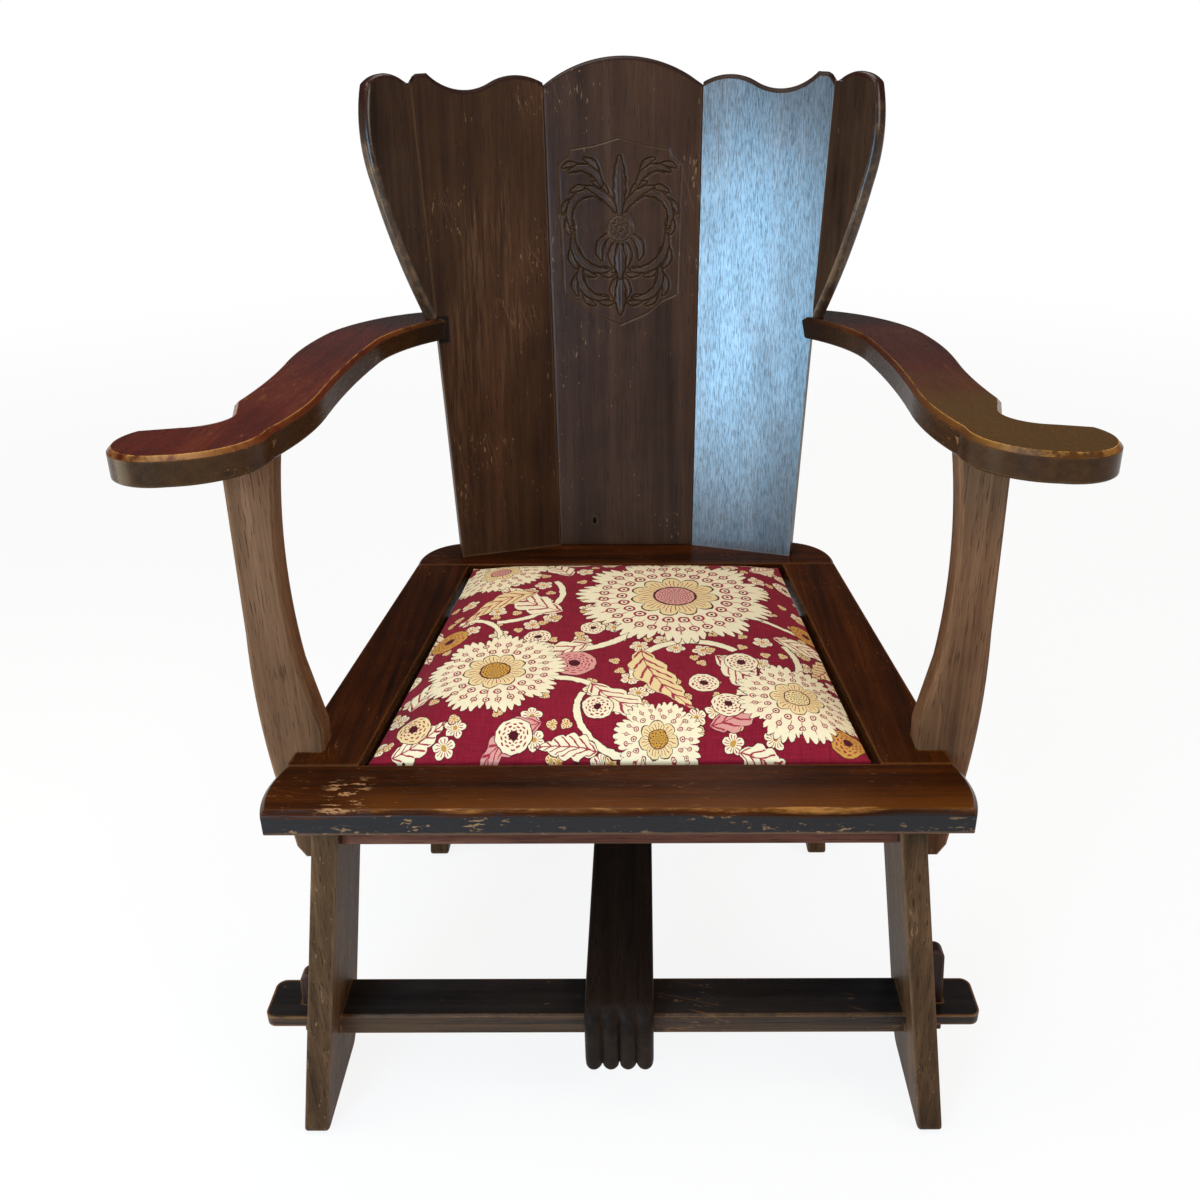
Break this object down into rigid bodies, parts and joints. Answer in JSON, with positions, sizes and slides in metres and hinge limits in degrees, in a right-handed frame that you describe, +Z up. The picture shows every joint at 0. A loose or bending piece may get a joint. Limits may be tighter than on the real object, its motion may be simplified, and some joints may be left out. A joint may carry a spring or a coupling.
{
  "type": "armchair",
  "caption": "Low wooden armchair with a coopered back, forward wings, paddle arms, splayed plank legs, keyed stretchers and a drop-in padded seat.",
  "frame": {"origin": "middle of the chair's footprint, on the floor", "axes": "+Z up, -Y towards the chair's front, +X to the right of one who looks at its front"},
  "size_m": [0.8012, 0.7198, 0.9748],
  "materials": {
    "oak_dark": "satin, dark stained oak",
    "oak_polished": "glossy, red-brown polished oak",
    "oak_brown": "satin, mid-brown oak",
    "peg": "matte oak",
    "plywood": "matte plywood",
    "steel": "dull",
    "print_cloth": "linen weave, crimson with a cream flower print"
  },
  "bodies": {
    "frame": {"front_rail": "oak_dark", "side_rail_left": "oak_dark", "side_rail_right": "oak_dark", "back_rail": "oak_dark", "cleat_left": "oak_dark", "cleat_right": "oak_dark", "cleat_front": "oak_dark", "cleat_back": "oak_dark", "front_leg_left": "oak_dark", "front_leg_right": "oak_dark", "back_leg_left": "oak_dark", "back_leg_right": "oak_dark", "front_stretcher": "oak_dark", "back_stretcher": "oak_dark", "hand_rail": "oak_dark", "front_key_left": "oak_dark", "front_key_right": "oak_dark", "back_key_left": "oak_dark", "back_key_right": "oak_dark", "back_board_centre": "oak_dark", "back_board_left": "oak_dark", "back_board_right": "oak_dark", "wing_left": "oak_dark", "wing_right": "oak_dark", "batten_lower": "oak_dark", "batten_upper": "oak_dark", "arm_left": "oak_polished", "arm_right": "oak_polished", "arm_post_left": "oak_brown", "arm_post_right": "oak_brown", "front_strip": "oak_brown", "frame_pegs": "peg", "board_pegs": "peg", "leg_pegs": "peg", "arm_pegs": "peg", "batten_pegs": "peg", "cleat_nails": "steel"},
    "seat": {"seat_base": "plywood", "seat_pad": "print_cloth"}
  },
  "joints": [
    {"name": "seat_lift", "type": "slide", "parent": "frame", "child": "seat", "axis": [0, 0, 1], "range_m": [0, 0.12]}
  ]
}
